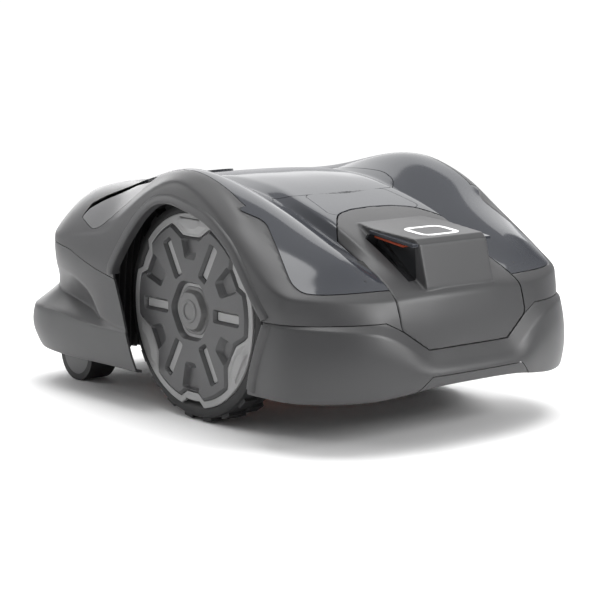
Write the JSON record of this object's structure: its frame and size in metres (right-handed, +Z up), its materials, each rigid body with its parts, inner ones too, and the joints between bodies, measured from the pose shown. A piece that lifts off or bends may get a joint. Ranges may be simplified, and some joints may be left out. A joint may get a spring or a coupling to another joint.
{
  "type": "robotic lawn mower",
  "caption": "Low robotic lawn mower with a floating two-tone plastic shell, large lugged drive wheels, rear swivel casters, a hinged top hatch and a height-adjusted cutting disc.",
  "frame": {"origin": "on the ground, under the middle of the machine's bounding box", "axes": "+Z up, the nose points along -Y, +X is the machine's left side"},
  "size_m": [0.424, 0.632, 0.291],
  "materials": {
    "shell_plastic": "fine moulded grain, satin",
    "gloss_cover": "high gloss",
    "gloss_hatch": "gloss",
    "dark_window": "polished, almost black",
    "light_strip": "translucent orange",
    "black_plastic": "moulded",
    "black_rubber": "moulded",
    "steel": "zinc plated",
    "stop_red": "satin gloss",
    "button_green": "satin gloss",
    "dial_plastic": "moulded",
    "display_glass": "polished",
    "battery_wrap": "moulded case",
    "circuit_board": "solder mask",
    "contact_brass": "plain",
    "motor_metal": "die cast",
    "blade_steel": "ground",
    "orange_plastic": "moulded",
    "tyre_rubber": "moulded rubber",
    "wheel_dark": "moulded",
    "ring_silver": "satin silver",
    "wheel_grey": "moulded satin"
  },
  "bodies": {
    "chassis": {"chassis_tub": "black_plastic", "chassis_lid": "black_plastic", "lid_seal": "black_rubber", "battery_pack": "battery_wrap", "main_board": "circuit_board", "control_panel": "black_plastic", "display": "display_glass", "front_insert": "black_plastic", "charging_contacts": "contact_brass", "chassis_screws": "steel", "height_guide": "black_plastic", "height_motor": "motor_metal", "left_wheel_motor": "motor_metal", "right_wheel_motor": "motor_metal"},
    "shell_mount": {"shell_posts": "black_rubber"},
    "shell": {"main_shell": "shell_plastic", "top_cover": "gloss_cover", "name_plate": "gloss_cover", "front_bumper": "shell_plastic", "rear_bumper": "shell_plastic", "nose_cover": "shell_plastic", "rear_inserts": "shell_plastic", "sensor_windows": "dark_window", "light_strips": "light_strip", "hatch_well": "black_plastic", "shell_sockets": "black_plastic", "hinge_pins": "steel"},
    "hatch": {"hatch_lid": "gloss_hatch"},
    "stop": {"stop_button": "stop_red"},
    "start": {"start_button": "button_green"},
    "dial": {"jog_dial": "dial_plastic"},
    "carriage": {"cutter_carriage": "black_plastic", "cutter_motor": "motor_metal"},
    "screw": {"height_screw": "steel"},
    "disc": {"cutting_disc": "black_plastic", "blade_screws": "steel"},
    "skid": {"skid_plate": "orange_plastic"},
    "blade_a": {"blade_1": "blade_steel"},
    "blade_b": {"blade_2": "blade_steel"},
    "blade_c": {"blade_3": "blade_steel"},
    "left_wheel": {"left_tyre": "tyre_rubber", "left_rim": "wheel_dark", "left_ring_plate": "ring_silver", "left_wheel_cover": "wheel_grey", "left_hub_cap": "wheel_dark", "left_drive_shaft": "steel"},
    "left_fork": {"left_caster_arm": "wheel_dark", "left_caster_axle": "steel"},
    "left_roller": {"left_caster_hub": "wheel_grey", "left_caster_tyre": "tyre_rubber"},
    "right_wheel": {"right_tyre": "tyre_rubber", "right_rim": "wheel_dark", "right_ring_plate": "ring_silver", "right_wheel_cover": "wheel_grey", "right_hub_cap": "wheel_dark", "right_drive_shaft": "steel"},
    "right_fork": {"right_caster_arm": "wheel_dark", "right_caster_axle": "steel"},
    "right_roller": {"right_caster_hub": "wheel_grey", "right_caster_tyre": "tyre_rubber"}
  },
  "joints": [
    {"name": "shell_lift", "type": "slide", "parent": "chassis", "child": "shell_mount", "axis": [0, 0, 1], "range_m": [0, 0.008]},
    {"name": "shell_bump", "type": "slide", "parent": "shell_mount", "child": "shell", "axis": [0, 1, 0], "range_m": [-0.005, 0.005], "stiffness_N_per_m": 4000},
    {"name": "hatch_hinge", "type": "hinge", "parent": "shell", "child": "hatch", "pos_m": [0, 0.138, 0.2526], "axis": [-1, 0, 0], "range_deg": [0, 70]},
    {"name": "stop_press", "type": "slide", "parent": "shell", "child": "stop", "axis": [0, -0.1625, -0.9867], "range_m": [0, 0.003], "stiffness_N_per_m": 900},
    {"name": "start_press", "type": "slide", "parent": "chassis", "child": "start", "axis": [0, 0, -1], "range_m": [0, 0.0025], "stiffness_N_per_m": 500},
    {"name": "dial_turn", "type": "hinge", "parent": "chassis", "child": "dial", "pos_m": [0, 0.066, 0.243], "axis": [0, 0, 1], "continuous": true},
    {"name": "cutter_height", "type": "slide", "parent": "chassis", "child": "carriage", "axis": [0, 0, -1], "range_m": [0, 0.03]},
    {"name": "screw_turn", "type": "hinge", "parent": "chassis", "child": "screw", "pos_m": [0, 0.093, 0.125], "axis": [0, 0, 1], "range_deg": [0, 1350]},
    {"name": "disc_spin", "type": "hinge", "parent": "carriage", "child": "disc", "pos_m": [0, 0.04, 0.06], "axis": [0, 0, 1], "continuous": true},
    {"name": "skid_spin", "type": "hinge", "parent": "disc", "child": "skid", "pos_m": [0, 0.04, 0.053], "axis": [0, 0, 1], "continuous": true},
    {"name": "blade_a_swing", "type": "hinge", "parent": "disc", "child": "blade_a", "pos_m": [0, 0.122, 0.0588], "axis": [0, 0, 1], "range_deg": [-90, 90]},
    {"name": "blade_b_swing", "type": "hinge", "parent": "disc", "child": "blade_b", "pos_m": [-0.07101, -0.001, 0.0588], "axis": [0, 0, 1], "range_deg": [-90, 90]},
    {"name": "blade_c_swing", "type": "hinge", "parent": "disc", "child": "blade_c", "pos_m": [0.07101, -0.001, 0.0588], "axis": [0, 0, 1], "range_deg": [-90, 90]},
    {"name": "left_drive", "type": "hinge", "parent": "chassis", "child": "left_wheel", "pos_m": [0.156, -0.034, 0.1275], "axis": [1, 0, 0], "continuous": true},
    {"name": "left_swivel", "type": "hinge", "parent": "chassis", "child": "left_fork", "pos_m": [0.135, 0.226, 0.11], "axis": [0, 0, 1], "continuous": true},
    {"name": "left_roll", "type": "hinge", "parent": "left_fork", "child": "left_roller", "pos_m": [0.135, 0.248, 0.035], "axis": [1, 0, 0], "continuous": true},
    {"name": "right_drive", "type": "hinge", "parent": "chassis", "child": "right_wheel", "pos_m": [-0.156, -0.034, 0.1275], "axis": [1, 0, 0], "continuous": true},
    {"name": "right_swivel", "type": "hinge", "parent": "chassis", "child": "right_fork", "pos_m": [-0.135, 0.226, 0.11], "axis": [0, 0, 1], "continuous": true},
    {"name": "right_roll", "type": "hinge", "parent": "right_fork", "child": "right_roller", "pos_m": [-0.135, 0.248, 0.035], "axis": [1, 0, 0], "continuous": true}
  ],
  "couplings": [
    {"joint": "screw_turn", "follows": "cutter_height", "rad_per_m": 785.4}
  ]
}
